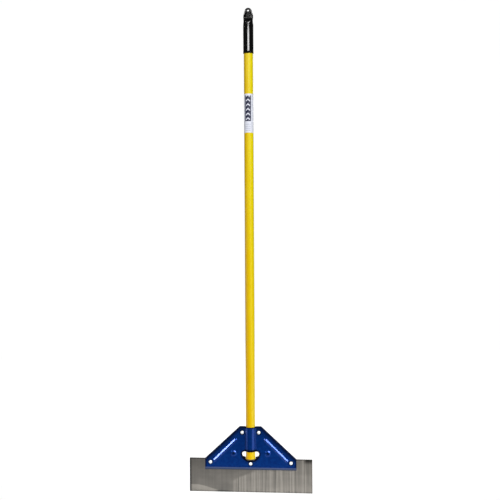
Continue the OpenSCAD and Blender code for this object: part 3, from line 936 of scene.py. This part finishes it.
for radius, z in inner:
    outline = cap_ring(radius, radius, 2)
    rings.append(np.column_stack([outline, np.full(around, z)]))
cap = new_piece("hanging_cap", np.vstack(rings), join_rings(len(rings), around), black)
face_outwards(cap.data)
bit = drill(cap, 0, hang_z, hang_radius, tab_half_thickness + 0.05 * mm, hang_flare)
settle(cap)
stand_for(cap, "end_cap")
bpy.data.objects.remove(bit)


# ------------------------------------------------------------------ label
# A printed paper label, laminated and wrapped once round the tube, with its ends lapped
# at the back. The print is a plain navy panel of arrows over grey rules, with no words.

# Paper under a clear film: smooth, slightly glossy and a little grey. The pattern is laid
# out in mm on the flat label, across from the middle of its front and up from its foot.
panel_middle, panel_half_width = -1.0, 10.0
panel_low, panel_high = 37.0, 120.0
arrow_pitch, arrow_share, arrow_rise, arrow_half_width = 15.0, 0.3, 0.8, 6.8
rule_pitch, rule_share, rule_half_width = 6.5, 0.28, 8.0
rules_low, rules_high = 5.0, 32.0
paper, tree, shader, where = start_material("laminated paper label")
flat = add(tree, "ShaderNodeUVMap", uv_map="print")
across = add(tree, "ShaderNodeSeparateXYZ", [flat], "X")
up = add(tree, "ShaderNodeSeparateXYZ", [flat], "Y")
offset = add(tree, "ShaderNodeMath", [across, panel_middle], operation="SUBTRACT")
from_middle = add(tree, "ShaderNodeMath", [offset], operation="ABSOLUTE")

slope = add(tree, "ShaderNodeMath", [from_middle, arrow_rise], operation="MULTIPLY")
climb = add(tree, "ShaderNodeMath", [up, slope], operation="ADD")
arrows = add(tree, "ShaderNodeMath", [climb, arrow_pitch], operation="DIVIDE")
step = add(tree, "ShaderNodeMath", [arrows], operation="FRACT")
in_arrow = add(tree, "ShaderNodeMath", [step, arrow_share], operation="LESS_THAN")
arrow_width = add(tree, "ShaderNodeMath", [from_middle, arrow_half_width], operation="LESS_THAN")
arrow = add(tree, "ShaderNodeMath", [in_arrow, arrow_width], operation="MULTIPLY")
navy = add(tree, "ShaderNodeMath", [1.0, arrow], operation="SUBTRACT")
panel_width = add(tree, "ShaderNodeMath", [from_middle, panel_half_width], operation="LESS_THAN")
above_foot = add(tree, "ShaderNodeMath", [up, panel_low], operation="GREATER_THAN")
below_top = add(tree, "ShaderNodeMath", [up, panel_high], operation="LESS_THAN")
for limit in (panel_width, above_foot, below_top):
    navy = add(tree, "ShaderNodeMath", [navy, limit], operation="MULTIPLY")

rows_up = add(tree, "ShaderNodeMath", [up, rule_pitch], operation="DIVIDE")
row = add(tree, "ShaderNodeMath", [rows_up], operation="FRACT")
rule = add(tree, "ShaderNodeMath", [row, rule_share], operation="LESS_THAN")
rule_width = add(tree, "ShaderNodeMath", [from_middle, rule_half_width], operation="LESS_THAN")
above_first = add(tree, "ShaderNodeMath", [up, rules_low], operation="GREATER_THAN")
below_last = add(tree, "ShaderNodeMath", [up, rules_high], operation="LESS_THAN")
for limit in (rule_width, above_first, below_last):
    rule = add(tree, "ShaderNodeMath", [rule, limit], operation="MULTIPLY")
faint = add(tree, "ShaderNodeMath", [rule, 0.6], operation="MULTIPLY")

colour = linear("#CED1DC")
for share, ink in ((navy, "#0B1236"), (faint, "#83879C")):
    colour = add(tree, "ShaderNodeMix", {0: share, 6: colour, 7: linear(ink)},
                 2, data_type="RGBA")
fibre = grain(tree, where, (0.8 * mm,) * 3, 2)
feed(tree, shader, {
    "Base Color": colour,
    "Roughness": 0.32,
    "Normal": add(tree, "ShaderNodeBump", {"Height": fibre, "Distance": 0.006 * mm})})

label_low, label_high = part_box("label")
label_height = label_high.z - label_low.z
film = 0.06 * mm
lap = 7 * mm
label_radius = (label_high.x - label_low.x) / 2 - 2 * film
wrap = 2 * math.pi * label_radius + lap
columns = even(0, wrap, 1.0 * mm)
rows = even(0, label_height, 8 * mm)
label_points, prints = [], []
for thickness in (0, film):
    for u in columns:
        turn = math.pi / 2 - u / label_radius
        lift = film * float(smooth(u, wrap - lap - 2 * mm, wrap - lap + mm))
        radius = label_radius - film + lift + thickness
        for v in rows:
            label_points.append((radius * math.cos(turn), radius * math.sin(turn),
                                 label_low.z + v))
            prints.append(((math.pi * label_radius - u) / mm, v / mm))
tall, wide = len(rows), len(columns)
label_faces = []
for layer in range(2):
    base = layer * wide * tall
    for i in range(wide - 1):
        for j in range(tall - 1):
            a = base + i * tall + j
            label_faces.append((a, a + 1, a + tall + 1, a + tall))
upper = wide * tall
edge = [i * tall for i in range(wide)] + [(wide - 1) * tall + j for j in range(1, tall)]
edge += [i * tall + tall - 1 for i in range(wide - 2, -1, -1)] + [j for j in range(tall - 2, 0, -1)]
for a, b in zip(edge, edge[1:] + edge[:1]):
    label_faces.append((a, b, b + upper, a + upper))
label = new_piece("wrapped_label", label_points, label_faces, paper)
layer = label.data.uv_layers.new(name="print")
for corner in label.data.loops:
    layer.data[corner.index].uv = prints[corner.vertex_index]
settle(label)
stand_for(label, "label")


# ------------------------------------------------- floor, lights and camera
# A pale paper sweep lies under the tool, in a white room. Soft boxes light it from the
# front, both sides and the back, and three far lamps draw the bright streaks on gloss.

sweep, tree, shader, where = start_material("white paper sweep")
tooth = grain(tree, where, (4 * mm,) * 3, 2)
feed(tree, shader, {
    "Base Color": add(tree, "ShaderNodeMix",
                      {0: tooth, 6: linear("#7C7C7C"), 7: linear("#848484")}, 2, data_type="RGBA"),
    "Roughness": 0.9,
    "Specular IOR Level": 0.1,
    "Emission Color": linear("#FFFFFF"),
    "Emission Strength": 0.95})                  # the sweep is lit through
floor_radius_x, floor_radius_y, floor_middle_y = 2.4, 2.3, 2.17
mesh = bpy.data.meshes.new("floor")
turns = np.linspace(0, 2 * math.pi, 96, endpoint=False)
mesh.from_pydata([(floor_radius_x * math.cos(t), floor_middle_y + floor_radius_y * math.sin(t), 0)
                  for t in turns], [], [tuple(range(len(turns)))])
mesh.materials.append(sweep)
floor = bpy.data.objects.new("floor", mesh)
bpy.context.scene.collection.objects.link(floor)

room = bpy.data.worlds.new("white room")
room.use_nodes = True
tree = room.node_tree
seen = add(tree, "ShaderNodeLightPath", (), "Is Camera Ray")
background, ambient = 0.95, 0.06                # white to the eye, but little light from it
strength = add(tree, "ShaderNodeMath", [seen, background], operation="MULTIPLY")
strength = add(tree, "ShaderNodeMath", [strength, ambient], operation="ADD")
feed(tree, tree.nodes["Background"], {"Strength": strength, "Color": linear("#FFFFFF")})
bpy.context.scene.world = room


def soft_box(name, azimuth, distance, height, width, tall, radiance, aim_z):
    """A rectangular lamp at an azimuth from the front, turned to the tool's axis."""
    light = bpy.data.lights.new(name, "AREA")
    light.shape, light.size, light.size_y = "RECTANGLE", width, tall
    light.energy = radiance * math.pi * width * tall
    lamp = bpy.data.objects.new(name, light)
    a = math.radians(azimuth)
    lamp.location = (distance * math.sin(a), -distance * math.cos(a), height)
    towards = Vector((0, 0, aim_z)) - lamp.location
    lamp.rotation_euler = towards.to_track_quat("-Z", "Y").to_euler()
    bpy.context.scene.collection.objects.link(lamp)


# Each box: azimuth, distance, height, width, tallness, radiance, height that it aims at.
soft_box("front strip", 6, 3.6, 2.23, 2.3, 0.2, 25.0, 0.8)
soft_box("high box", -5, 2.6, 3.3, 2.4, 1.4, 2.3, 0.5)
soft_box("right strip", 47, 2.0, 0.55, 0.7, 2.0, 1.6, 0.55)
soft_box("left strip", -85, 2.0, 0.3, 0.9, 1.4, 1.8, 0.3)
soft_box("right low box", 82, 1.6, -0.2, 1.9, 0.5, 1.8, 0.15)
soft_box("low box", -2, 1.2, -0.34, 1.5, 0.2, 1.3, 0.1)
soft_box("back box", 180, 2.5, 2.2, 2.0, 1.5, 3.0, 0.2)


def far_lamp(name, azimuth, elevation, wide, radiance):
    """A round lamp far off: where it is seen from the tool, and how wide it looks."""
    light = bpy.data.lights.new(name, "SUN")
    light.angle = math.radians(wide)
    light.energy = radiance * math.pi * math.sin(light.angle / 2) ** 2
    lamp = bpy.data.objects.new(name, light)
    a, e = math.radians(azimuth), math.radians(elevation)
    way = Vector((math.sin(a) * math.cos(e), -math.cos(a) * math.cos(e), math.sin(e)))
    lamp.location = 6 * way
    lamp.rotation_euler = (-way).to_track_quat("-Z", "Y").to_euler()
    bpy.context.scene.collection.objects.link(lamp)


# Each lamp: azimuth, elevation, how wide it looks, radiance.
far_lamp("left lamp", -46, 20.5, 7.5, 56.0)
far_lamp("right lamp", 38, 25, 12.6, 30.0)
far_lamp("upper lamp", 28, 37, 14, 27.0)

view_distance = 3.0716
view_turn = math.radians(6.007)
view_height = 0.8168
aim = Vector((0.0016, 0, 0.7877))
view_roll = math.radians(-0.324)
lens = bpy.data.cameras.new("camera")
lens.lens = 68.2
lens.sensor_width = 36
camera = bpy.data.objects.new("camera", lens)
camera.location = (view_distance * math.sin(view_turn), -view_distance * math.cos(view_turn),
                   view_height)
facing_way = (aim - camera.location).to_track_quat("-Z", "Y").to_matrix().to_4x4()
camera.matrix_world = (Matrix.Translation(camera.location) @ facing_way
                       @ Matrix.Rotation(view_roll, 4, "Z"))
bpy.context.scene.collection.objects.link(camera)
bpy.context.scene.camera = camera
bpy.context.scene.view_settings.view_transform = "Standard"

bpy.context.view_layer.update()
